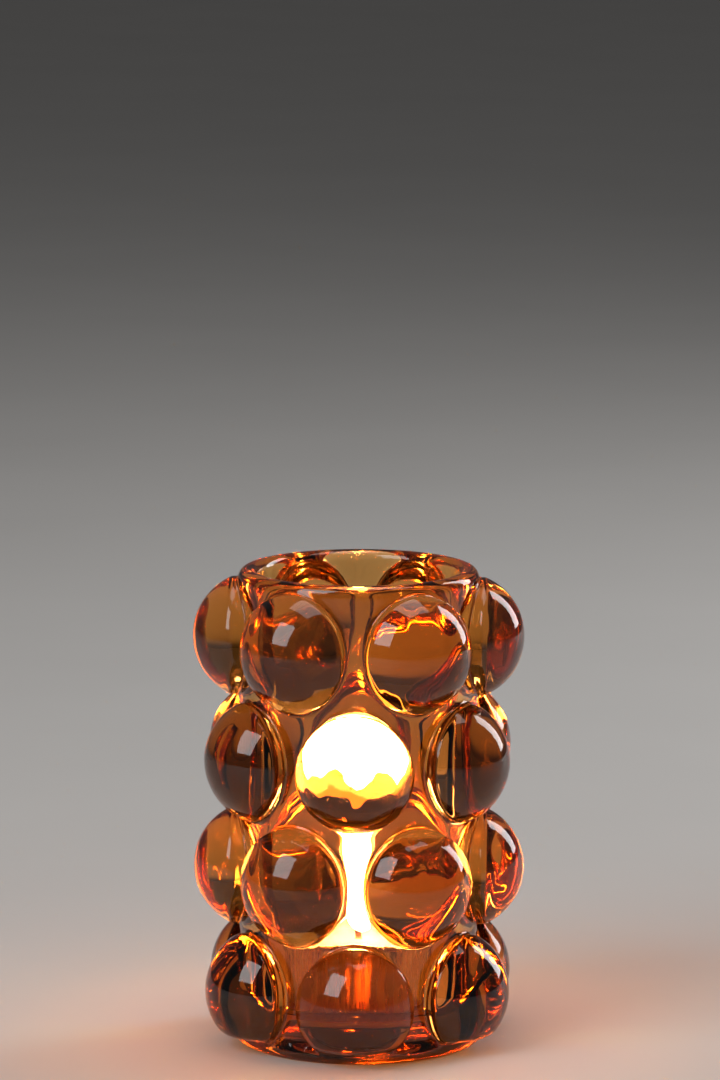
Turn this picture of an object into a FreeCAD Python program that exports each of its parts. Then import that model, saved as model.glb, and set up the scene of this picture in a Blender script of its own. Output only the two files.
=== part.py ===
"""Tealight holder: a thick glass cup ringed by four rows of domed lenses, with a tealight that lifts out.

Units are millimetres. +Z is up and the origin is the middle of the foot, on the surface it stands on.
The lenses of rows 2 and 4 face the front, which is -Y; rows 1 and 3 sit half a place round from them.
"""

import FreeCAD
import Part
import math
import os
from FreeCAD import Vector

# --- Glass cup -------------------------------------------------------------
holder_height = 120.0
body_radius = 30.0
wall = 5.0
floor_thickness = 10.0
lip_rounding = 2.2          # fire-polished rim, on both of its edges
well_corner = 3.0           # where the inner wall runs into the floor, less if the tin would sit on it
foot_radius = 31.0
foot_height = 3.8
foot_rounding = 1.4         # on the edge that meets the table
underside_hollow_radius = 21.0
underside_hollow_depth = 1.0

# --- Lenses fused on the outside of the cup ------------------------------
lens_rows = 4
lenses_per_row = 6
lens_radius = 14.9          # where the two domes would meet if the edge weren't rounded
lens_stand_off = 1.2        # from the cup's wall to the plane where the dome starts
dome_height = 10.3          # from that plane to the top of the dome
back_height = 9.4           # from that plane back to where the back's dome would close, in the wall
edge_rounding = 1.0         # round a lens's edge, between the dome and the back
most_neighbours = 6         # two beside it in its row, and two each in the rows above and below
top_row_drop = 17.3         # from the rim down to the middle of row 1
bottom_row_height = 14.8    # from the foot's underside up to the middle of the last row

# --- Tealight --------------------------------------------------------------
tin_top_radius = 18.8
tin_taper = 0.5             # how much smaller the tin is at its base, on the radius
tin_height = 17.5
tin_wall = 0.3
tin_bead_radius = 0.45      # rolled edge
tin_base_step = 0.6         # the middle of the base is pressed up by this much
tin_base_step_margin = 4.8  # from the base's outer edge in to the step
tin_corner = 1.2
wax_side_clearance = 0.15
wax_below_rim = 2.0
wax_meniscus_height = 0.5   # how far the wax climbs at its edge
wax_meniscus_width = 1.2
clip_radius = 6.5           # the metal disc that holds the wick upright
clip_thickness = 0.3
clip_collar_height = 3.4
clip_collar_wall = 0.4
wick_radius = 0.9
wick_straight_above_wax = 2.6
wick_bend_radius = 3.2
wick_bend_angle = 50.0      # degrees, the burnt tip leans over

# --- Worked out from the sizes above ---------------------------------------
well_radius = body_radius - wall
row_pitch = (holder_height - top_row_drop - bottom_row_height) / (lens_rows - 1)
wall_top = holder_height - lip_rounding
lens_step = 360.0 / lenses_per_row
dome_base = body_radius + lens_stand_off
dome_radius = (lens_radius**2 + dome_height**2) / (2.0 * dome_height)
back_radius = (lens_radius**2 + back_height**2) / (2.0 * back_height)
beyond = 4.0 * (holder_height + dome_base + dome_height)   # longer than anything here
tin_base_radius = tin_top_radius - tin_taper
tin_base_step_radius = tin_base_radius - tin_base_step_margin
seat_corner = min(well_corner, well_radius - tin_base_radius)
tin_bottom = floor_thickness
tin_floor = tin_bottom + tin_wall
clip_bottom = tin_floor + tin_base_step
tin_top = tin_bottom + tin_height
wax_top = tin_top - wax_below_rim
axis_up = Vector(0, 0, 1)
origin = Vector(0, 0, 0)


def turned(edges):
    """A solid turned about Z from a closed run of edges in the XZ plane."""
    return Part.Face(Part.Wire(edges)).revolve(origin, axis_up, 360.0)


def line(a, b):
    """An edge between two (radius, height) points of a turned outline."""
    return Part.makeLine(Vector(a[0], 0, a[1]), Vector(b[0], 0, b[1]))


def arc(a, middle, b):
    """An arc through three (radius, height) points of a turned outline."""
    return Part.Arc(*(Vector(p[0], 0, p[1]) for p in (a, middle, b))).toShape()


def outline(points):
    """The closed run of straight edges through these (radius, height) points."""
    return [line(a, b) for a, b in zip(points, points[1:] + points[:1])]


def round_edges(solid, rounding, wanted):
    """Rounds the circular edges for which wanted(radius, height) holds."""
    chosen = []
    for edge in solid.Edges:
        if edge.Degenerated or not isinstance(edge.Curve, Part.Circle):
            continue
        if wanted(edge.Curve.Radius, edge.Curve.Center.z):
            chosen.append(edge)
    return solid.makeFillet(rounding, chosen)


def near(a, b):
    return abs(a - b) < 1e-6


def glass_cup():
    """The cup: a straight wall on a thick floor, with a low foot and a hollow under it."""
    cup = turned(outline([
        (0, 0), (foot_radius, 0), (foot_radius, foot_height), (body_radius, foot_height),
        (body_radius, holder_height), (well_radius, holder_height), (well_radius, floor_thickness),
        (0, floor_thickness),
    ]))
    cup = round_edges(cup, lip_rounding, lambda r, z: near(z, holder_height))
    cup = round_edges(cup, seat_corner, lambda r, z: near(z, floor_thickness) and near(r, well_radius))
    cup = round_edges(cup, foot_rounding, lambda r, z: near(z, 0) and near(r, foot_radius))
    hollow_sphere = (underside_hollow_radius**2 + underside_hollow_depth**2) / (2.0 * underside_hollow_depth)
    hollow = Part.makeSphere(hollow_sphere, Vector(0, 0, underside_hollow_depth - hollow_sphere))
    return cup.cut(hollow)


def lens_blank():
    """One lens turned about Z, its dome up: two domes back to back, rounded where they meet."""
    dome_centre = dome_base + dome_height - dome_radius
    back_centre = dome_base - back_height + back_radius
    apart = back_centre - dome_centre
    dome_reach = dome_radius - edge_rounding
    back_reach = back_radius - edge_rounding
    rise = (dome_reach**2 - back_reach**2 + apart**2) / (2.0 * apart)
    edge_x = math.sqrt(dome_reach**2 - rise**2)
    edge_z = dome_centre + rise
    dome_angle = math.atan2(edge_x, rise)
    back_angle = math.atan2(edge_x, rise - apart)

    def around(centre_x, centre_z, radius, angle):
        return (centre_x + radius * math.sin(angle), centre_z + radius * math.cos(angle))

    back_tip = around(0, back_centre, back_radius, math.pi)
    back_middle = around(0, back_centre, back_radius, (math.pi + back_angle) / 2.0)
    back_end = around(edge_x, edge_z, edge_rounding, back_angle)
    edge_middle = around(edge_x, edge_z, edge_rounding, (back_angle + dome_angle) / 2.0)
    dome_end = around(edge_x, edge_z, edge_rounding, dome_angle)
    dome_middle = around(0, dome_centre, dome_radius, dome_angle / 2.0)
    dome_tip = around(0, dome_centre, dome_radius, 0)
    return turned([
        arc(back_tip, back_middle, back_end),
        arc(back_end, edge_middle, dome_end),
        arc(dome_end, dome_middle, dome_tip),
        line(dome_tip, back_tip),
    ])


def lens_turn(row, place):
    """How far round from the front a lens sits, in degrees; odd rows sit half a place round."""
    half_place = 0.5 if row % 2 else 0.0
    return (place - 1 + half_place) * lens_step


def lens_height(row):
    return holder_height - top_row_drop - (row - 1) * row_pitch


def lens_seat(row, place):
    """The point on the cup's wall behind the middle of a lens."""
    turn = math.radians(lens_turn(row, place))
    return Vector(body_radius * math.sin(turn), -body_radius * math.cos(turn), lens_height(row))


def half_space(point, direction):
    """A block with one face through the point, reaching away from it in the direction."""
    block = Part.makeBox(beyond, beyond, beyond, Vector(-beyond / 2.0, -beyond / 2.0, 0))
    block.Placement = FreeCAD.Placement(point, FreeCAD.Rotation(axis_up, direction))
    return block


def lens(blank, row, place, places):
    """The blank at its place round the cup, its back cut to the wall and kept between foot and lip.

    Where two lenses would run into each other, they meet on a flat half way between them.
    """
    laid = blank.copy()
    laid.rotate(origin, Vector(1, 0, 0), 90.0)
    laid.rotate(origin, axis_up, lens_turn(row, place))
    laid.translate(Vector(0, 0, lens_height(row)))
    laid = laid.cut(Part.makeCylinder(body_radius, beyond, Vector(0, 0, -beyond / 2.0)))
    laid = laid.cut(half_space(Vector(0, 0, foot_height), -axis_up))
    laid = laid.cut(half_space(Vector(0, 0, wall_top), axis_up))
    seat = lens_seat(row, place)
    others = [lens_seat(*other) for other in places if other != (row, place)]
    others.sort(key=seat.distanceToPoint)
    for other in others[:most_neighbours]:
        laid = laid.cut(half_space((seat + other) / 2.0, other - seat))
    return laid


def tin_cup():
    """The pressed aluminium cup of the tealight, with a stepped base and a rolled edge."""
    step_outside = tin_base_step_radius
    step_inside = tin_base_step_radius + tin_wall
    shell = turned(outline([
        (0, tin_bottom + tin_base_step), (step_outside, tin_bottom + tin_base_step),
        (step_outside, tin_bottom), (tin_base_radius, tin_bottom),
        (tin_top_radius, tin_top), (tin_top_radius - tin_wall, tin_top),
        (tin_base_radius - tin_wall, tin_floor), (step_inside, tin_floor), (step_inside, clip_bottom),
        (0, clip_bottom),
    ]))
    shell = round_edges(shell, tin_corner, lambda r, z: near(r, tin_base_radius) and near(z, tin_bottom))
    shell = round_edges(shell, tin_corner - tin_wall,
                        lambda r, z: near(r, tin_base_radius - tin_wall) and near(z, tin_floor))
    bead = Part.makeTorus(tin_top_radius, tin_bead_radius, Vector(0, 0, tin_top - tin_bead_radius))
    inside = Part.makeCylinder(tin_top_radius - tin_wall, tin_height, Vector(0, 0, tin_bottom))
    return shell.fuse(bead.cut(inside)).removeSplitter()


def wick_clip():
    """The metal disc under the wick, with the collar that grips it."""
    disc = Part.makeCylinder(clip_radius, clip_thickness, Vector(0, 0, clip_bottom))
    collar = Part.makeCylinder(wick_radius + clip_collar_wall, clip_collar_height, Vector(0, 0, clip_bottom))
    bore = Part.makeCylinder(wick_radius, clip_collar_height, Vector(0, 0, clip_bottom))
    return disc.fuse(collar).cut(bore).removeSplitter()


def wick():
    """The wick: straight through the wax, then bent over at its tip."""
    bend_start = wax_top + wick_straight_above_wax
    angle = math.radians(wick_bend_angle)
    centre_x = wick_bend_radius

    def on_bend(turn):
        return Vector(centre_x - wick_bend_radius * math.cos(turn), 0,
                      bend_start + wick_bend_radius * math.sin(turn))

    path = Part.Wire([
        Part.makeLine(Vector(0, 0, clip_bottom), Vector(0, 0, bend_start)),
        Part.Arc(on_bend(0), on_bend(angle / 2.0), on_bend(angle)).toShape(),
    ])
    section = Part.Wire(Part.makeCircle(wick_radius, Vector(0, 0, clip_bottom), axis_up))
    return path.makePipeShell([section], True, False)


def wax(clip_solid, wick_solid):
    """The wax, cast round the wick and its clip, a loose fit in the tin so that it lifts out."""
    edge_top = wax_top + wax_meniscus_height
    lower = tin_base_radius - tin_wall - wax_side_clearance
    upper = lower + tin_taper * (edge_top - tin_floor) / tin_height
    step = tin_base_step_radius + tin_wall + wax_side_clearance
    climb_start = upper - wax_meniscus_width
    climb_radius = (wax_meniscus_width**2 + wax_meniscus_height**2) / (2.0 * wax_meniscus_height)
    half_climb = math.asin(wax_meniscus_width / climb_radius) / 2.0
    climb_middle = (climb_start + climb_radius * math.sin(half_climb),
                    wax_top + climb_radius * (1.0 - math.cos(half_climb)))
    body = turned([
        line((0, clip_bottom), (step, clip_bottom)),
        line((step, clip_bottom), (step, tin_floor)),
        line((step, tin_floor), (lower - tin_corner, tin_floor)),
        line((lower - tin_corner, tin_floor), (lower, tin_floor + tin_corner)),
        line((lower, tin_floor + tin_corner), (upper, edge_top)),
        arc((upper, edge_top), climb_middle, (climb_start, wax_top)),
        line((climb_start, wax_top), (0, wax_top)),
        line((0, wax_top), (0, clip_bottom)),
    ])
    return body.cut(clip_solid).cut(wick_solid)


def export(shape, name):
    """Writes one named node, as the plain solids it is made of."""
    solids = shape.Solids
    node = solids[0] if len(solids) == 1 else Part.makeCompound(solids)
    node.exportStep(f"parts/{name}.step")


def main():
    os.makedirs("parts", exist_ok=True)
    export(glass_cup(), "glass_cup")
    blank = lens_blank()
    places = [(row, place) for row in range(1, lens_rows + 1) for place in range(1, lenses_per_row + 1)]
    for row, place in places:
        export(lens(blank, row, place, places), f"lens_row{row}_{place}")
    export(tin_cup(), "tealight_tin")
    clip = wick_clip()
    cotton = wick()
    export(clip, "wick_clip")
    export(cotton, "wick")
    export(wax(clip, cotton), "wax")


main()
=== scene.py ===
import math

import bmesh
import bpy
import numpy as np
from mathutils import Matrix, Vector, noise


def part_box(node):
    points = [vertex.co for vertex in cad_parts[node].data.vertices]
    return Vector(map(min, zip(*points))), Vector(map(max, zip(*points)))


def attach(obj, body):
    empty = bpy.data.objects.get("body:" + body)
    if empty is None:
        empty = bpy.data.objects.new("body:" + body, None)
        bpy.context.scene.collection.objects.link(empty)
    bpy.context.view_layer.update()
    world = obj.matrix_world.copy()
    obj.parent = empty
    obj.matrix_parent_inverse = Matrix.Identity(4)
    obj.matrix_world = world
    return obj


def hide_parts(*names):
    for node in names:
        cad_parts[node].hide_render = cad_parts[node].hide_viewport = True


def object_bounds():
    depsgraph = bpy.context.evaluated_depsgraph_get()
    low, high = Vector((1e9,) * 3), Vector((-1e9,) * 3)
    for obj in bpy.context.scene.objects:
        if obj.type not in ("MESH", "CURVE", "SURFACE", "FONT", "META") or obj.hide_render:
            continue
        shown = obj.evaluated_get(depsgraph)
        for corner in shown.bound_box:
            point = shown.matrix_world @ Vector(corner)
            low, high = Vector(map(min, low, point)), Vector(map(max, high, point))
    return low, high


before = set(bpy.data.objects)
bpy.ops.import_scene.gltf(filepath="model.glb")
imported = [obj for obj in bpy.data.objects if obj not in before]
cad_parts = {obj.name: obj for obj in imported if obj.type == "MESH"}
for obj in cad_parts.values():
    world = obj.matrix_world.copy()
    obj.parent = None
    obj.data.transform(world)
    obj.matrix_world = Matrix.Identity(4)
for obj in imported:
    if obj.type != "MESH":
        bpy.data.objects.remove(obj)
cadLow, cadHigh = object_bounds()
scene = bpy.context.scene
mm = 0.001
weld = 0.002 * mm           # points closer than this become one
print("frame loaded")


def newPiece(name, bm, body, standsFor=()):
    mesh = bpy.data.meshes.new(name)
    bm.to_mesh(mesh)
    bm.free()
    piece = bpy.data.objects.new(name, mesh)
    scene.collection.objects.link(piece)
    for face in mesh.polygons:
        face.use_smooth = True
    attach(piece, body)
    if standsFor:
        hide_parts(*standsFor)
    return piece


def newMaterial(name):
    material = bpy.data.materials.new(name)
    material.use_nodes = True
    tree = material.node_tree
    tree.nodes.clear()
    output = tree.nodes.new("ShaderNodeOutputMaterial")
    shader = tree.nodes.new("ShaderNodeBsdfPrincipled")
    tree.links.new(shader.outputs[0], output.inputs["Surface"])
    return material, tree, shader


def fill(tree, made, links=(), **settings):
    # settings by the node's own property or by socket, with _ for a space, then the links into it
    for key, value in settings.items():
        if hasattr(made, key):
            setattr(made, key, value)
        else:
            made.inputs[key.replace("_", " ")].default_value = value
    for socket, source in dict(links).items():
        tree.links.new(source, made.inputs[socket])
    return made


def node(tree, kind, links=(), **settings):
    return fill(tree, tree.nodes.new(kind), links, **settings)


def objectCoords(tree, scale=(1, 1, 1)):
    coords = tree.nodes.new("ShaderNodeTexCoord")
    mapping = node(tree, "ShaderNodeMapping", {"Vector": coords.outputs["Object"]})
    mapping.inputs["Scale"].default_value = scale
    return mapping.outputs[0]


def ramp(tree, source, places, colours):
    made = node(tree, "ShaderNodeValToRGB", {"Fac": source})
    points = made.color_ramp.elements
    while len(points) < len(places):
        points.new(0.5)
    for point, place, colour in zip(points, places, colours):
        point.position = place
        point.color = (*colour, 1.0)
    return made.outputs["Color"]


cameraView = {
    "distance": 1.4966,
    "pitch": 9.37,
    "turn": 1.78,
    "aimAboveRim": 6.92 * mm,
    "aimAside": 0.35 * mm,
    "lens": 200.0,
    "sensor": 36.0,
    "farthest": 50.0,
}


def placeCamera():
    view = cameraView
    turn, pitch = math.radians(view["turn"]), math.radians(view["pitch"])
    level = math.cos(pitch)
    back = Vector((math.sin(turn) * level, -math.cos(turn) * level, math.sin(pitch)))
    right = Vector((math.cos(turn), math.sin(turn), 0))
    aim = Vector((0, 0, cadHigh.z + view["aimAboveRim"])) + right * view["aimAside"]
    data = bpy.data.cameras.new("camera")
    data.lens = view["lens"]
    data.sensor_width = view["sensor"]
    data.clip_end = view["farthest"]
    camera = bpy.data.objects.new("camera", data)
    scene.collection.objects.link(camera)
    camera.location = aim + back * view["distance"]
    camera.rotation_euler = (-back).to_track_quat("-Z", "Y").to_euler()
    scene.camera = camera


placeCamera()


# One body of fused glass: cup, lenses and foot flow into each other.

glassSize = {
    "wallRadius": 30.0 * mm,
    "wall": 5.0 * mm,
    "lipRounding": 2.2 * mm,
    "wellCorner": 3.0 * mm,
    "footHeight": 3.8 * mm,
    "footRounding": 1.4 * mm,
    "hollowRadius": 21.0 * mm,
    "hollowDepth": 1.0 * mm,
    "lensStandOff": 1.2 * mm,
    "backHeight": 9.4 * mm,     # the lens's own back is rounded too, where it stands off the wall
    "shoulderBlend": 0.8 * mm,
    "edgeTrim": 0.2 * mm,       # what that rounding takes off the lens's radius
    "trimBlend": 1.6 * mm,
    "fusing": 0.45 * mm,        # larger makes softer roots
    "innerRipple": 0.07 * mm,
    "innerRippleSize": 11.0 * mm,
    "innerSeed": 3.0,
    "outerRipple": 0.06 * mm,
    "outerRippleSize": 9.0 * mm,
    "outerSeed": 7.0,
    "skinMargin": 0.3 * mm,     # the outer ripple starts this far inside the wall's radius
    "seamMerge": 0.03 * mm,     # joins neighbouring patches along their borders
    "coreRadius": 24.0 * mm,    # every outer point is seen from points at this radius
    "topCore": 112.0 * mm,
    "bottomCore": 8.0 * mm,
    "edgeDegrees": (57.0, 71.0),    # the lens's edge lies between these angles from its axis
    "domeRings": 14,
    "edgeRings": 9,
    "rootRings": 8,
    "sideSteps": 12,
    "walkSteps": 60,
    "roundSteps": 6,
    "wellSteps": 44,
    "seatSteps": 12,
    "footSteps": 4,
    "hollowSteps": 10,
}
lensRows, lensesPerRow = 4, 6
halfStep = math.pi / lensesPerRow


def lensPlaces():
    sampleLow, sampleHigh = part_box("lens_row2_1")
    radius = (sampleHigh.x - sampleLow.x) / 2 + glassSize["edgeTrim"]
    apex = -sampleLow.y
    rowTwo = (sampleLow.z + sampleHigh.z) / 2
    threeLow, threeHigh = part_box("lens_row3_1")
    pitch = rowTwo - (threeLow.z + threeHigh.z) / 2
    rows = [rowTwo + pitch * (1 - row) for row in range(lensRows)]
    places = []
    for row, height in enumerate(rows):
        for place in range(lensesPerRow):
            places.append((row, height, (place + (0.5 if row % 2 == 0 else 0)) * 2 * halfStep))
    return radius, apex, pitch, places


lensRadius, lensApex, rowPitch, lensSpots = lensPlaces()
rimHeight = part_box("glass_cup")[1].z
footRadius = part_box("glass_cup")[1].x
tinLow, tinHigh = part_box("tealight_tin")
floorHeight = tinLow.z


def softMax(a, b, blend):
    overlap = np.maximum(blend - np.abs(a - b), 0) / blend
    return np.maximum(a, b) + overlap * overlap * blend / 4


def roundedCorner(across, along, rounding):
    outside = np.hypot(np.maximum(across, 0), np.maximum(along, 0))
    return outside + np.minimum(np.maximum(across, along), 0) - rounding


def glassField(points):     # distance to the outer skin, below zero inside
    g = glassSize
    lip, toe = g["lipRounding"], g["footRounding"]
    x, y, z = points.T
    r = np.hypot(x, y)
    wall = roundedCorner(r - (g["wallRadius"] - lip), z - (rimHeight - lip), lip)
    wall = np.maximum(wall, toe - z)
    foot = roundedCorner(r - (footRadius - toe), toe - z, toe)
    foot = softMax(foot, z - g["footHeight"], toe)
    domeStart = g["wallRadius"] + g["lensStandOff"]
    domeHeight = lensApex - domeStart
    domeRadius = (lensRadius**2 + domeHeight**2) / (2 * domeHeight)
    backRadius = (lensRadius**2 + g["backHeight"]**2) / (2 * g["backHeight"])
    backCentre = domeStart - g["backHeight"] + backRadius
    parts = [wall, foot]
    for row, height, turn in lensSpots:
        along = x * math.sin(turn) - y * math.cos(turn)
        side = np.hypot(x * math.cos(turn) + y * math.sin(turn), z - height)
        front = np.hypot(side, along - (lensApex - domeRadius)) - domeRadius
        lens = softMax(front, np.hypot(side, along - backCentre) - backRadius, g["shoulderBlend"])
        if row == lensRows - 1:
            lens = softMax(lens, g["footHeight"] - z, g["trimBlend"])
        parts.append(lens)
    stack = np.stack(parts) / g["fusing"]
    low = stack.min(0)
    return g["fusing"] * (low - np.log(np.exp(low - stack).sum(0)))


def outward(starts, directions):
    # walks to the first skin it meets, each step as long as the way that is surely still glass
    reach = np.zeros(len(starts))
    for _ in range(glassSize["walkSteps"]):
        reach -= glassField(starts + directions * reach[:, None])
    return starts + directions * reach[:, None]


def cellOutline(row, height, turn):
    # the border of a lens's own patch of skin, as starts at the core and how steeply each looks up
    g = glassSize
    steps = g["sideSteps"]
    tall = (rowPitch**2 + (halfStep * g["wallRadius"])**2) / (2 * rowPitch)
    short = rowPitch - tall
    lipSlope = math.atan2(rimHeight - g["topCore"], g["wallRadius"] - g["wall"] / 2 - g["coreRadius"])
    footSlope = -math.atan2(g["bottomCore"], footRadius - g["footRounding"] - g["coreRadius"])
    isTop, isBottom = row == 0, row == lensRows - 1
    sideTop = (g["topCore"] - height) if isTop else short
    sideBottom = (g["bottomCore"] - height) if isBottom else -short
    share = [step / steps for step in range(steps)]
    right = [(halfStep, sideBottom + (sideTop - sideBottom) * s, 0) for s in share]
    left = [(-halfStep, sideTop + (sideBottom - sideTop) * s, 0) for s in share]
    if isTop:
        over = [(halfStep, sideTop, lipSlope * s) for s in share]
        over += [(halfStep * (1 - s), sideTop, lipSlope) for s in share]
        over += [(-halfStep * s, sideTop, lipSlope) for s in share]
        over += [(-halfStep, sideTop, lipSlope * (1 - s)) for s in share]
    else:
        over = [(halfStep * (1 - s), short + (tall - short) * s, 0) for s in share]
        over += [(-halfStep * s, tall + (short - tall) * s, 0) for s in share]
    if isBottom:
        under = [(-halfStep, sideBottom, footSlope * s) for s in share]
        under += [(-halfStep * (1 - s), sideBottom, footSlope) for s in share]
        under += [(halfStep * s, sideBottom, footSlope) for s in share]
        under += [(halfStep, sideBottom, footSlope * (1 - s)) for s in share]
    else:
        under = [(-halfStep * (1 - s), -short - (tall - short) * s, 0) for s in share]
        under += [(halfStep * s, -tall + (tall - short) * s, 0) for s in share]
    return np.array([(turn + a, height + z, slope) for a, z, slope in right + over + left + under])


def roundAxis(turn, radius, z):
    return np.stack([radius * np.sin(turn), -radius * np.cos(turn), np.broadcast_to(z, np.shape(turn))], -1)


def byAngle(verts):
    return sorted(verts, key=lambda v: math.atan2(v.co.y, v.co.x) % (2 * math.pi))


def nextRing(bm, loop, edges):
    # grows a closed ring by one; the new points come back in the old ones' order
    order = {vert: index for index, vert in enumerate(loop)}
    grown = bmesh.ops.extrude_edge_only(bm, edges=edges)["geom"]
    rank = {}
    for vert in (v for v in grown if isinstance(v, bmesh.types.BMVert)):
        partners = (e.other_vert(vert) for e in vert.link_edges)
        rank[vert] = next(order[partner] for partner in partners if partner in order)
    loop = sorted(rank, key=rank.get)
    edges = [e for e in grown if isinstance(e, bmesh.types.BMEdge) and set(e.verts) <= set(loop)]
    return loop, edges


def lensPatch(row, height, turn):
    g = glassSize
    bm = bmesh.new()
    outline = cellOutline(row, height, turn)
    starts = roundAxis(outline[:, 0], g["coreRadius"], outline[:, 1])
    level = roundAxis(outline[:, 0], 1.0, 0.0) * np.cos(outline[:, 2])[:, None]
    looks = level + np.array([0, 0, 1.0]) * np.sin(outline[:, 2])[:, None]
    border = outward(starts, looks)
    axis = roundAxis(np.array(turn), 1.0, 0.0)
    core = roundAxis(np.array(turn), g["coreRadius"], height)
    reach = border - core
    along = reach @ axis
    aside = reach - along[:, None] * axis
    spread = np.linalg.norm(aside, axis=1)
    aside = aside / spread[:, None]
    fullAngle = np.arctan2(spread, along)
    domeEnd, edgeEnd = (math.radians(a) for a in g["edgeDegrees"])
    fixed = [domeEnd * ring / g["domeRings"] for ring in range(1, g["domeRings"] + 1)]
    fixed += [domeEnd + (edgeEnd - domeEnd) * ring / g["edgeRings"] for ring in range(1, g["edgeRings"] + 1)]
    angles = [np.full(len(outline), a) for a in fixed]
    angles += [edgeEnd + (fullAngle - edgeEnd) * ring / g["rootRings"] for ring in range(1, g["rootRings"])]
    angles = np.array(angles)
    directions = np.cos(angles)[..., None] * axis + np.sin(angles)[..., None] * aside
    rings = outward(np.broadcast_to(core, directions.shape).reshape(-1, 3), directions.reshape(-1, 3))
    rings = np.concatenate([rings.reshape(directions.shape), border[None]])
    tip = outward(core[None], axis[None])[0]
    count = len(outline)
    made = bmesh.ops.create_circle(bm, cap_ends=True, cap_tris=True, segments=count, radius=1.0)["verts"]
    middle = min(made, key=lambda v: v.co.length)
    middle.co = tip
    loop = byAngle(v for v in made if v is not middle)
    for vert, place in zip(loop, rings[0]):
        vert.co = place
    edges = [e for e in bm.edges if middle not in e.verts]
    for ring in rings[1:]:
        loop, edges = nextRing(bm, loop, edges)
        for vert, place in zip(loop, ring):
            vert.co = place
    return bm


def profileSpin(profile, steps):
    # turns a run of (radius, height) points about the axis
    bm = bmesh.new()
    verts = [bm.verts.new((r, 0, z)) for r, z in profile]
    edges = [bm.edges.new(pair) for pair in zip(verts, verts[1:])]
    bmesh.ops.spin(bm, geom=verts + edges, cent=(0, 0, 0), axis=(0, 0, 1), angle=2 * math.pi, steps=steps,
                   use_merge=True)
    return bm


def joined(parts):
    whole = bmesh.new()
    for part in parts:
        mesh = bpy.data.meshes.new("part")
        part.to_mesh(mesh)
        part.free()
        whole.from_mesh(mesh)
        bpy.data.meshes.remove(mesh)
    return whole


def bend(centreR, centreZ, radius, fromDegrees, toDegrees, steps):
    places = []
    for step in range(steps + 1):
        a = math.radians(fromDegrees + (toDegrees - fromDegrees) * step / steps)
        places.append((centreR + radius * math.cos(a), centreZ + radius * math.sin(a)))
    return places


def stretch(a, b, steps):     # the points between two ends, without the ends
    return [tuple(p + (q - p) * step / steps for p, q in zip(a, b)) for step in range(1, steps)]


def wellProfile():
    g = glassSize
    inner = g["wallRadius"] - g["wall"]
    lip, corner, turns = g["lipRounding"], g["wellCorner"], g["roundSteps"]
    rim = [(g["wallRadius"] - g["wall"] / 2, rimHeight)]
    rim += bend(inner + lip, rimHeight - lip, lip, 90, 180, turns)
    seat = bend(inner - corner, floorHeight + corner, corner, 0, -90, turns)
    centre = (0, floorHeight)
    wall = stretch(rim[-1], seat[0], g["wellSteps"])
    return rim + wall + seat + stretch(seat[-1], centre, g["seatSteps"]) + [centre]


def underProfile():
    g = glassSize
    edge = (footRadius - g["footRounding"], 0)
    ring = (g["hollowRadius"], 0)
    sphere = (g["hollowRadius"]**2 + g["hollowDepth"]**2) / (2 * g["hollowDepth"])
    halfAngle = math.degrees(math.asin(g["hollowRadius"] / sphere))
    dome = bend(0, g["hollowDepth"] - sphere, sphere, 90 - halfAngle, 90, g["hollowSteps"])
    return [edge] + stretch(edge, ring, g["footSteps"]) + dome


def ripple(places, size, amount, seed):
    finer, fainter = 2.1, 0.5
    shifts = []
    for p in places:
        at = Vector(p) / size + Vector((seed, 0, 0))
        shifts.append(noise.noise(at) + fainter * noise.noise(at * finer))
    return amount * np.array(shifts)


def fusedGlass():
    g = glassSize
    around = 2 * g["sideSteps"] * lensesPerRow
    well = profileSpin(wellProfile(), around)
    wall = [v for v in well.verts if math.hypot(v.co.x, v.co.y) > tinHigh.x + g["innerRipple"]]
    wall = [v for v in wall if v.co.z < rimHeight - g["lipRounding"]]
    places = [v.co for v in wall]
    for vert, shift in zip(wall, ripple(places, g["innerRippleSize"], g["innerRipple"], g["innerSeed"])):
        vert.co += Vector((vert.co.x, vert.co.y, 0)).normalized() * shift
    patches = [lensPatch(*spot) for spot in lensSpots]
    bm = joined(patches + [well, profileSpin(underProfile(), around)])
    bmesh.ops.remove_doubles(bm, verts=bm.verts[:], dist=g["seamMerge"])
    bmesh.ops.recalc_face_normals(bm, faces=bm.faces[:])
    bm.normal_update()
    skin = [v for v in bm.verts if math.hypot(v.co.x, v.co.y) > g["wallRadius"] - g["skinMargin"]]
    skin = [v for v in skin if g["footHeight"] < v.co.z < rimHeight - g["lipRounding"]]
    places = [v.co for v in skin]
    for vert, shift in zip(skin, ripple(places, g["outerRippleSize"], g["outerRipple"], g["outerSeed"])):
        vert.co += vert.normal * shift
    openEdges = [e for e in bm.edges if len(e.link_faces) != 2]
    print("glass skin", len(bm.verts), "points, open edges", len(openEdges))
    names = [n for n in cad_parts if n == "glass_cup" or n.startswith("lens_")]
    return newPiece("glass_vessel", bm, "holder", names)


glass = fusedGlass()


glassLook = {
    "palest": (1.0, 0.62, 0.24),
    "deepest": (0.96, 0.50, 0.15),
    "tintStops": (0.3, 0.7),
    "tintScale": 38.0,
    "depthColour": (0.84, 0.60, 0.24),
    "depthDensity": 75.0,       # how fast the colour deepens with thickness, per metre
    "refraction": 1.52,
    "haziest": 0.03,
    "hazeStops": (0.45, 0.8),
    "hazeScale": 260.0,
    "waviness": 0.10,
    "waveDepth": 0.5 * mm,
    "waveScale": 95.0,
    "waveStretch": 0.45,        # below one, the waves run longer up the glass
    "shadowTint": (0.96, 0.70, 0.36),
}


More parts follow.
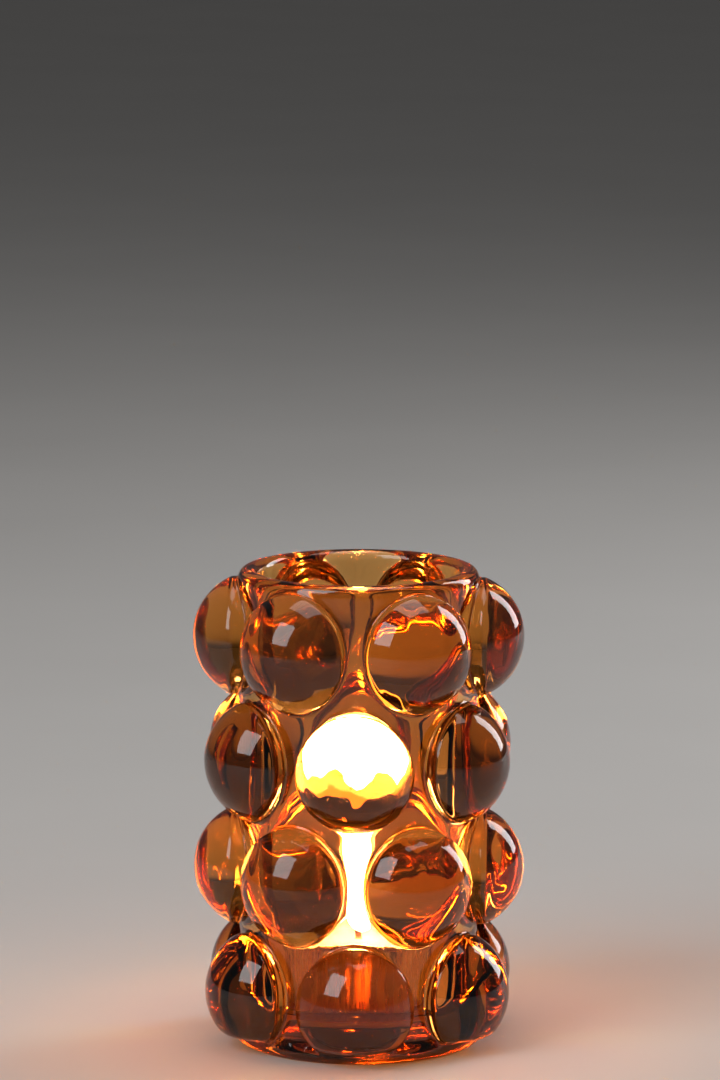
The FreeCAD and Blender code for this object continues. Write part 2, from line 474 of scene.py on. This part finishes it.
def amberGlass():
    look = glassLook
    material, tree, shader = newMaterial("amber_glass")
    where = objectCoords(tree)
    clouds = node(tree, "ShaderNodeTexNoise", {"Vector": where}, Scale=look["tintScale"], Detail=3.0)
    tint = ramp(tree, clouds.outputs["Fac"], look["tintStops"], (look["deepest"], look["palest"]))
    haze = node(tree, "ShaderNodeTexNoise", {"Vector": where}, Scale=look["hazeScale"], Detail=4.0)
    rough = node(tree, "ShaderNodeMapRange", {"Value": haze.outputs["Fac"]}, From_Min=look["hazeStops"][0],
                 From_Max=look["hazeStops"][1], To_Max=look["haziest"])
    flow = node(tree, "ShaderNodeTexNoise", {"Vector": objectCoords(tree, (1, 1, look["waveStretch"]))},
                Scale=look["waveScale"], Detail=2.0)
    waves = node(tree, "ShaderNodeBump", {"Height": flow.outputs["Fac"]}, Strength=look["waviness"],
                 Distance=look["waveDepth"])
    fill(tree, shader, {"Base Color": tint, "Roughness": rough.outputs[0], "Normal": waves.outputs[0]},
         Transmission_Weight=1.0, IOR=look["refraction"])
    clear = node(tree, "ShaderNodeBsdfTransparent", Color=(*look["shadowTint"], 1))
    path = tree.nodes.new("ShaderNodeLightPath")
    both = node(tree, "ShaderNodeMixShader", {0: path.outputs["Is Shadow Ray"], 1: shader.outputs[0],
                                              2: clear.outputs[0]})
    depth = node(tree, "ShaderNodeVolumeAbsorption", Density=look["depthDensity"],
                 Color=(*look["depthColour"], 1))
    fill(tree, tree.nodes["Material Output"], {"Surface": both.outputs[0], "Volume": depth.outputs[0]})
    return material


glass.data.materials.append(amberGlass())
print("glass finished")


# The tealight's pressed foil cup, with fine flutes up its wall and a rolled lip.

foilSize = {
    "wall": 0.3 * mm,
    "taper": 0.5 * mm,
    "baseStep": 0.6 * mm,
    "stepMargin": 4.8 * mm,
    "stepSlope": 0.4 * mm,
    "corner": 1.2 * mm,
    "cornerSteps": 5,
    "bead": 0.45 * mm,
    "beadDegrees": (-90, 130),
    "beadSteps": 10,
    "wallSteps": 16,
    "flutes": 60,
    "pointsPerFlute": 6,
    "fluteDepth": 0.045 * mm,
    "fluteShare": (0.7, 0.6),   # the even part of that depth, and how much of it changes round the cup
    "fluteChange": 3.0,         # how quickly it changes
    "fluteFade": 5.0,           # larger lets the flutes start closer to the wall's ends
    "dents": 0.10 * mm,
    "dentSize": 7.0 * mm,
}


def foilCup():
    f = foilSize
    low, top = tinLow.z, tinHigh.z
    topRadius = tinHigh.x - f["bead"]
    baseRadius = topRadius - f["taper"]
    stepRadius = baseRadius - f["stepMargin"]
    corner, wall, slope = f["corner"], f["wall"], f["stepSlope"]
    stepTop = low + f["baseStep"]
    outerFoot = bend(baseRadius - corner, low + corner, corner, -90, 0, f["cornerSteps"])
    bead = bend(topRadius, top - f["bead"], f["bead"], *f["beadDegrees"], f["beadSteps"])
    innerFoot = bend(baseRadius - corner, low + corner, corner - wall, 0, -90, f["cornerSteps"])
    under = [(0, stepTop), (stepRadius - slope, stepTop), (stepRadius, low)]
    inside = [(stepRadius + wall, low + wall), (stepRadius + wall - slope, low + wall + f["baseStep"])]
    inside.append((0, low + wall + f["baseStep"]))
    outerWall = stretch(outerFoot[-1], bead[0], f["wallSteps"])
    innerWall = stretch((topRadius - wall, bead[-1][1]), innerFoot[0], f["wallSteps"])
    profile = under + outerFoot + outerWall + bead + innerWall + innerFoot + inside
    bm = profileSpin(profile, f["flutes"] * f["pointsPerFlute"])
    bmesh.ops.remove_doubles(bm, verts=bm.verts[:], dist=weld)
    bmesh.ops.recalc_face_normals(bm, faces=bm.faces[:])
    wallLow, wallTop = low + corner, top - 2 * f["bead"]
    even, uneven = f["fluteShare"]
    for vert in bm.verts:
        share = (vert.co.z - wallLow) / (wallTop - wallLow)
        if share > 0 and math.hypot(vert.co.x, vert.co.y) > baseRadius - corner:
            fade = min(1, f["fluteFade"] * share, f["fluteFade"] * max(1 - share, 0))
            turn = math.atan2(vert.co.y, vert.co.x)
            way = Vector((math.cos(turn), math.sin(turn), 0))
            depth = f["fluteDepth"] * (even + uneven * noise.noise(way * f["fluteChange"]))
            dent = f["dents"] * abs(noise.noise(vert.co / f["dentSize"]))
            vert.co += way * (depth * math.cos(turn * f["flutes"]) - dent) * fade
    return newPiece("foil_cup", bm, "tin", ["tealight_tin"])


foilLook = {
    "bright": (0.91, 0.90, 0.88),
    "dull": (0.74, 0.72, 0.70),
    "patchStops": (0.35, 0.6),
    "patchScale": 170.0,
    "drawnScale": 1400.0,
    "drawnStretch": 0.06,       # the drawing marks run up the wall
    "drawnStops": (0.3, 0.7),
    "drawnDepth": 0.05 * mm,
    "smoothest": 0.16,
    "roughest": 0.38,
}


def foilMetal():
    look = foilLook
    material, tree, shader = newMaterial("tin_aluminium")
    drawn = node(tree, "ShaderNodeTexNoise", {"Vector": objectCoords(tree, (1, 1, look["drawnStretch"]))},
                 Scale=look["drawnScale"], Detail=4.0)
    patches = node(tree, "ShaderNodeTexNoise", {"Vector": objectCoords(tree)}, Scale=look["patchScale"],
                   Detail=3.0)
    tint = ramp(tree, patches.outputs["Fac"], look["patchStops"], (look["dull"], look["bright"]))
    rough = node(tree, "ShaderNodeMapRange", {"Value": drawn.outputs["Fac"]},
                 From_Min=look["drawnStops"][0], From_Max=look["drawnStops"][1],
                 To_Min=look["smoothest"], To_Max=look["roughest"])
    lines = node(tree, "ShaderNodeBump", {"Height": drawn.outputs["Fac"]}, Strength=0.25,
                 Distance=look["drawnDepth"])
    fill(tree, shader, {"Base Color": tint, "Roughness": rough.outputs[0], "Normal": lines.outputs[0]},
         Metallic=1.0)
    return material


foil = foilCup()
foil.data.materials.append(foilMetal())
print("foil cup finished")


# The wax, cast round the wick and its clip, climbing a little where it meets the foil.

waxSize = {
    "clearance": 0.15 * mm,
    "belowRim": 2.0 * mm,
    "edgeClimb": 0.5 * mm,
    "edgeWidth": 1.2 * mm,
    "wickHole": 0.95 * mm,
    "collarRadius": 0.9 * mm + 0.4 * mm,    # the wick's radius and the collar's wall
    "discThickness": 0.3 * mm,
    "clipGap": 0.05 * mm,
    "dip": 0.25 * mm,           # the pool lies a little lower round the wick
    "poolRadius": 11.0 * mm,
    "poolSteepness": 4,
    "topLayer": 0.5 * mm,       # only points this close under the top are shaped
    "unevenness": 0.06 * mm,
    "unevenSize": 3.0 * mm,
    "topSteps": 24,
    "sideSteps": 8,
    "around": 120,
}


def candleWax():
    f, w = foilSize, waxSize
    clipLow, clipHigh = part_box("wick_clip")
    gap, wickHole = w["clipGap"], w["wickHole"]
    topRadius = tinHigh.x - f["bead"]
    baseRadius = topRadius - f["taper"]
    waxTop = tinHigh.z - w["belowRim"]
    floor = tinLow.z + f["wall"]
    edgeTop = waxTop + w["edgeClimb"]
    lower = baseRadius - f["wall"] - w["clearance"] - f["dents"]
    upper = lower + f["taper"] * (edgeTop - floor) / (tinHigh.z - tinLow.z)
    step = baseRadius - f["stepMargin"] + f["wall"] + w["clearance"]
    shares = (0, 0.25, 0.5, 0.75, 1)
    climb = [(upper - w["edgeWidth"] * (1 - s), waxTop + w["edgeClimb"] * s * s) for s in shares]
    collarRadius = w["collarRadius"] + gap
    collarTop = clipHigh.z + gap
    discRadius = clipHigh.x + gap
    discTop = clipLow.z + w["discThickness"] + gap
    top = stretch((wickHole, waxTop), climb[0], w["topSteps"])
    side = stretch(climb[-1], (lower, floor + f["corner"]), w["sideSteps"])
    base = [(lower, floor + f["corner"]), (lower - f["corner"], floor), (step, floor), (step, clipLow.z)]
    clip = [(discRadius, clipLow.z), (discRadius, discTop)]
    clip += [(collarRadius, discTop), (collarRadius, collarTop)]
    hole = [(wickHole, collarTop), (wickHole, waxTop)]
    bm = profileSpin(hole + top + climb + side + base + clip + hole[:1], w["around"])
    bmesh.ops.remove_doubles(bm, verts=bm.verts[:], dist=weld)
    bmesh.ops.recalc_face_normals(bm, faces=bm.faces[:])
    for vert in bm.verts:
        if vert.co.z > waxTop - w["topLayer"]:
            r = math.hypot(vert.co.x, vert.co.y)
            pool = math.exp(-(r / w["poolRadius"])**w["poolSteepness"])
            vert.co.z -= w["dip"] * pool
            vert.co.z += w["unevenness"] * noise.noise(vert.co / w["unevenSize"]) * (1 - pool)
    return newPiece("candle_wax", bm, "candle", ["wax"]), waxTop


waxLook = {
    "cream": (0.93, 0.88, 0.78),
    "white": (0.96, 0.93, 0.87),
    "mottleStops": (0.35, 0.65),
    "mottleScale": 240.0,
    "mottleDepth": 0.15 * mm,
    "milkiness": 0.8,
    "milkSpread": (1.0, 0.7, 0.45),
    "milkDepth": 3.0 * mm,
    "setRoughness": 0.42,
    "meltRoughness": 0.06,
    "meltFade": 2.5 * mm,
    "meltWobble": 3.0 * mm,
}


def warmWax():
    look = waxLook
    material, tree, shader = newMaterial("candle_wax")
    mottle = node(tree, "ShaderNodeTexNoise", {"Vector": objectCoords(tree)}, Scale=look["mottleScale"],
                  Detail=4.0)
    tint = ramp(tree, mottle.outputs["Fac"], look["mottleStops"], (look["cream"], look["white"]))
    flat = objectCoords(tree, (1, 1, 0))
    reach = node(tree, "ShaderNodeVectorMath", {"Vector": flat}, operation="LENGTH")
    wobble = node(tree, "ShaderNodeMath", {0: mottle.outputs["Fac"], 2: reach.outputs["Value"]},
                  operation="MULTIPLY_ADD")
    wobble.inputs[1].default_value = look["meltWobble"]
    melt = node(tree, "ShaderNodeMapRange", {"Value": wobble.outputs[0]}, From_Min=waxSize["poolRadius"],
                From_Max=waxSize["poolRadius"] + look["meltFade"],
                To_Min=look["meltRoughness"], To_Max=look["setRoughness"])
    skin = node(tree, "ShaderNodeBump", {"Height": mottle.outputs["Fac"]}, Strength=0.3,
                Distance=look["mottleDepth"])
    fill(tree, shader, {"Base Color": tint, "Roughness": melt.outputs[0], "Normal": skin.outputs[0]},
         Subsurface_Weight=look["milkiness"], Subsurface_Radius=look["milkSpread"],
         Subsurface_Scale=look["milkDepth"])
    return material


wax, waxTop = candleWax()
wax.data.materials.append(warmWax())
print("wax finished")


# The braided wick: six strands laid both ways round, bent over and burnt at the tip.

wickSize = {
    "radius": 0.9 * mm,
    "straightAboveWax": 2.6 * mm,
    "straightSteps": 50,
    "bendRadius": 3.2 * mm,
    "bendDegrees": 50.0,
    "bendSteps": 14,
    "strands": 6,
    "pointsPerStrand": 6,
    "strandDepth": 0.14,
    "lay": 2.6 * mm,            # length in which a strand goes once round
    "burntSteps": 10,           # the last steps of the path, thinner towards the tip
    "burntAway": 0.25,
}


def wickPath():
    w = wickSize
    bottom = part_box("wick")[0].z
    start = waxTop + w["straightAboveWax"]
    steps, radius = w["straightSteps"], w["bendRadius"]
    path = [(Vector((0, 0, bottom + (start - bottom) * s / steps)), 0.0) for s in range(steps)]
    for s in range(w["bendSteps"] + 1):
        a = math.radians(w["bendDegrees"]) * s / w["bendSteps"]
        path.append((Vector((radius * (1 - math.cos(a)), 0, start + radius * math.sin(a))), a))
    return path


def braidedWick():
    w = wickSize
    path = wickPath()
    strands = w["strands"]
    around = strands * w["pointsPerStrand"]
    burntFrom = len(path) - 1 - w["burntSteps"]
    bm = bmesh.new()
    loop = byAngle(bmesh.ops.create_circle(bm, segments=around, radius=1.0)["verts"])
    edges = bm.edges[:]
    length, last = 0.0, path[0][0]
    for step, (place, lean) in enumerate(path):
        if step:
            loop, edges = nextRing(bm, loop, edges)
        length += (place - last).length
        last = place
        twist = 2 * math.pi * length / w["lay"] / strands
        burnt = 1 - w["burntAway"] * max(0, (step - burntFrom) / w["burntSteps"])
        side = Vector((math.cos(lean), 0, -math.sin(lean)))
        for index, vert in enumerate(loop):
            a = 2 * math.pi * index / around
            ridge = max(abs(math.sin(strands * (a + twist) / 2)), abs(math.sin(strands * (a - twist) / 2)))
            r = w["radius"] * burnt * (1 - w["strandDepth"] * (1 - ridge))
            vert.co = place + side * (r * math.cos(a)) + Vector((0, 1, 0)) * (r * math.sin(a))
    ends = bmesh.ops.holes_fill(bm, edges=[e for e in bm.edges if e.is_boundary], sides=0)["faces"]
    bmesh.ops.poke(bm, faces=ends)
    bmesh.ops.recalc_face_normals(bm, faces=bm.faces[:])
    return newPiece("braided_wick", bm, "candle", ["wick"])


wickLook = {
    "cotton": (0.80, 0.74, 0.62),
    "scorched": (0.20, 0.09, 0.03),
    "charred": (0.012, 0.010, 0.009),
    "burnStops": (0.0, 0.3, 0.6),
    "burnLength": 4.0 * mm,     # those stops' own length, up from the wax
    "burnWobble": 0.8 * mm,
    "fibreScale": 2600.0,
    "fibreDepth": 0.1 * mm,
    "roughness": 0.9,
}


def burntCotton():
    look = wickLook
    material, tree, shader = newMaterial("wick_cotton")
    where = objectCoords(tree)
    fibres = node(tree, "ShaderNodeTexNoise", {"Vector": where}, Scale=look["fibreScale"], Detail=3.0)
    parts = node(tree, "ShaderNodeSeparateXYZ", {"Vector": where})
    height = node(tree, "ShaderNodeMath", {0: fibres.outputs["Fac"], 2: parts.outputs["Z"]},
                  operation="MULTIPLY_ADD")
    height.inputs[1].default_value = look["burnWobble"]
    share = node(tree, "ShaderNodeMapRange", {"Value": height.outputs[0]}, From_Min=waxTop,
                 From_Max=waxTop + look["burnLength"])
    tint = ramp(tree, share.outputs[0], look["burnStops"],
                (look["cotton"], look["scorched"], look["charred"]))
    fuzz = node(tree, "ShaderNodeBump", {"Height": fibres.outputs["Fac"]}, Strength=0.6,
                Distance=look["fibreDepth"])
    fill(tree, shader, {"Base Color": tint, "Normal": fuzz.outputs[0]}, Roughness=look["roughness"])
    return material


clipLook = {
    "dull": (0.42, 0.41, 0.40),
    "bright": (0.62, 0.61, 0.59),
    "spotStops": (0.4, 0.6),
    "spotScale": 700.0,
    "spotDepth": 0.05 * mm,
    "smoothest": 0.25,
    "roughest": 0.5,
}


def clipSteel():
    look = clipLook
    material, tree, shader = newMaterial("clip_steel")
    spots = node(tree, "ShaderNodeTexNoise", {"Vector": objectCoords(tree)}, Scale=look["spotScale"],
                 Detail=4.0)
    tint = ramp(tree, spots.outputs["Fac"], look["spotStops"], (look["dull"], look["bright"]))
    rough = node(tree, "ShaderNodeMapRange", {"Value": spots.outputs["Fac"]}, To_Min=look["smoothest"],
                 To_Max=look["roughest"])
    dings = node(tree, "ShaderNodeBump", {"Height": spots.outputs["Fac"]}, Strength=0.2,
                 Distance=look["spotDepth"])
    fill(tree, shader, {"Base Color": tint, "Roughness": rough.outputs[0], "Normal": dings.outputs[0]},
         Metallic=1.0)
    return material


wick = braidedWick()
wick.data.materials.append(burntCotton())
clip = bpy.data.objects["wick_clip"]
clip.data.materials.clear()
clip.data.materials.append(clipSteel())
print("wick and clip finished")


# The flame, standing round the wick's tip, and the thin glow about it.

flameSize = {
    "start": 1.6 * mm,          # above the wax
    "height": 39.5 * mm,
    "radius": 4.6 * mm,
    "widest": 0.24,             # share of the height
    "taper": 0.48,
    "glowWidth": 1.2,
    "glowHeight": 1.03,
    "lean": 0.8 * mm,           # its root follows the bent wick
    "tipLean": -1.0 * mm,
    "sway": 0.15 * mm,
    "swayAcross": 5.0,          # radians of sway from root to tip, seen from the front
    "swayDeep": 4.0,            # and from the side
    "steps": 40,
    "around": 48,
}
flameLow = waxTop + flameSize["start"]


def candleFlame(name, wider, taller):
    f = flameSize
    profile = []
    for s in range(f["steps"] + 1):
        t = s / f["steps"]
        if t < f["widest"]:
            r = math.sqrt(max(0, 1 - (1 - t / f["widest"])**2))
        else:
            r = ((1 - t) / (1 - f["widest"]))**f["taper"]
        profile.append((f["radius"] * r * wider, flameLow + f["height"] * t * taller))
    bm = profileSpin(profile, f["around"])
    bmesh.ops.remove_doubles(bm, verts=bm.verts[:], dist=weld)
    bmesh.ops.recalc_face_normals(bm, faces=bm.faces[:])
    for vert in bm.verts:
        t = (vert.co.z - flameLow) / f["height"]
        vert.co.x += f["lean"] * (1 - t)**2 + f["tipLean"] * t + f["sway"] * math.sin(f["swayAcross"] * t)
        vert.co.y += f["sway"] * math.sin(f["swayDeep"] * t + 1) * t
    return newPiece(name, bm, "candle")


flameLook = {
    "root": (0.30, 0.16, 0.30),
    "heart": (1.0, 0.76, 0.46),
    "tip": (1.0, 0.62, 0.28),
    "stops": (0.0, 0.22, 0.65, 1.0),
    "strength": 220.0,
    "glow": (1.0, 0.36, 0.07),
    "glowStops": (0.0, 0.35, 1.0),
    "glowRise": 0.5,            # share of the flame's height that the glow's stops run over
    "glowStrength": 7.0,
    "glowCover": 0.3,
}


def flameShare(tree, rise):     # how far up the flame, from 0 at its root to 1
    parts = node(tree, "ShaderNodeSeparateXYZ", {"Vector": objectCoords(tree)})
    share = node(tree, "ShaderNodeMapRange", {"Value": parts.outputs["Z"]}, From_Min=flameLow,
                 From_Max=flameLow + rise * flameSize["height"])
    return share.outputs[0]


def burningGas():
    look = flameLook
    material, tree, shader = newMaterial("candle_flame")
    tint = ramp(tree, flameShare(tree, 1.0), look["stops"],
                (look["root"], look["heart"], look["heart"], look["tip"]))
    fill(tree, shader, {"Emission Color": tint}, Base_Color=(0, 0, 0, 1), Roughness=1.0,
         Specular_IOR_Level=0.0, Emission_Strength=look["strength"])
    return material


def thinGlow():
    look = flameLook
    material, tree, shader = newMaterial("flame_glow")
    tint = ramp(tree, flameShare(tree, look["glowRise"]), look["glowStops"],
                (look["root"], look["glow"], look["glow"]))
    fill(tree, shader, {"Emission Color": tint}, Base_Color=(0, 0, 0, 1), Specular_IOR_Level=0.0,
         Alpha=look["glowCover"], Emission_Strength=look["glowStrength"])
    return material


flame = candleFlame("candle_flame", 1.0, 1.0)
flame.data.materials.append(burningGas())
glow = candleFlame("flame_glow", flameSize["glowWidth"], flameSize["glowHeight"])
glow.data.materials.append(thinGlow())
print("flame finished")


studio = {
    "floor": (0.60, 0.58, 0.56),
    "floorShade": 0.97,         # the darker end of the floor's grain
    "floorStops": (0.3, 0.7),
    "floorScale": 9.0,
    "floorRoughness": 0.6,
    "floorGloss": 0.25,
    "floorSize": 9.0,
    "floorGap": 0.02 * mm,
    "world": 0.08,
    "aim": (0, 0, 0.06),
    "lamps": (                  # name, place, power, width, height
        ("key", (-0.75, -0.75, 0.85), 9.0, 0.7, 0.9),
        ("rim", (0.85, 0.65, 0.55), 6.0, 0.35, 0.9),
        ("top", (0.1, 0.1, 1.3), 4.0, 0.8, 0.8),
    ),
    "brightestBounce": 60.0,    # room for the flame seen through the glass
    "bounces": 32,
}


def floorSurface():
    material, tree, shader = newMaterial("studio_floor")
    grain = node(tree, "ShaderNodeTexNoise", {"Vector": objectCoords(tree)}, Scale=studio["floorScale"],
                 Detail=5.0)
    pale = studio["floor"]
    shade = tuple(studio["floorShade"] * c for c in pale)
    tint = ramp(tree, grain.outputs["Fac"], studio["floorStops"], (shade, pale))
    fill(tree, shader, {"Base Color": tint}, Roughness=studio["floorRoughness"],
         Specular_IOR_Level=studio["floorGloss"])
    return material


def softbox(name, place, power, width, height):
    data = bpy.data.lights.new(name, "AREA")
    data.shape = "RECTANGLE"
    data.size, data.size_y = width, height
    data.energy = power
    lamp = bpy.data.objects.new(name, data)
    scene.collection.objects.link(lamp)
    lamp.location = place
    lamp.rotation_euler = (Vector(studio["aim"]) - Vector(place)).to_track_quat("-Z", "Y").to_euler()


def buildStudio():
    bm = bmesh.new()
    bmesh.ops.create_grid(bm, x_segments=2, y_segments=2, size=studio["floorSize"])
    mesh = bpy.data.meshes.new("floor")
    bm.to_mesh(mesh)
    bm.free()
    floor = bpy.data.objects.new("floor", mesh)
    scene.collection.objects.link(floor)
    floor.location.z = cadLow.z - studio["floorGap"]
    mesh.materials.append(floorSurface())
    for lamp in studio["lamps"]:
        softbox(*lamp)
    world = bpy.data.worlds.new("studio")
    world.use_nodes = True
    background = world.node_tree.nodes["Background"]
    background.inputs["Color"].default_value = (1, 1, 1, 1)
    background.inputs["Strength"].default_value = studio["world"]
    scene.world = world


buildStudio()
scene.view_settings.view_transform = "Standard"
scene.cycles.caustics_reflective = False
scene.cycles.caustics_refractive = False
scene.cycles.sample_clamp_indirect = studio["brightestBounce"]
scene.cycles.max_bounces = studio["bounces"]
scene.cycles.transmission_bounces = studio["bounces"]
scene.cycles.transparent_max_bounces = studio["bounces"]
scene.cycles.use_denoising = True
print("studio ready")
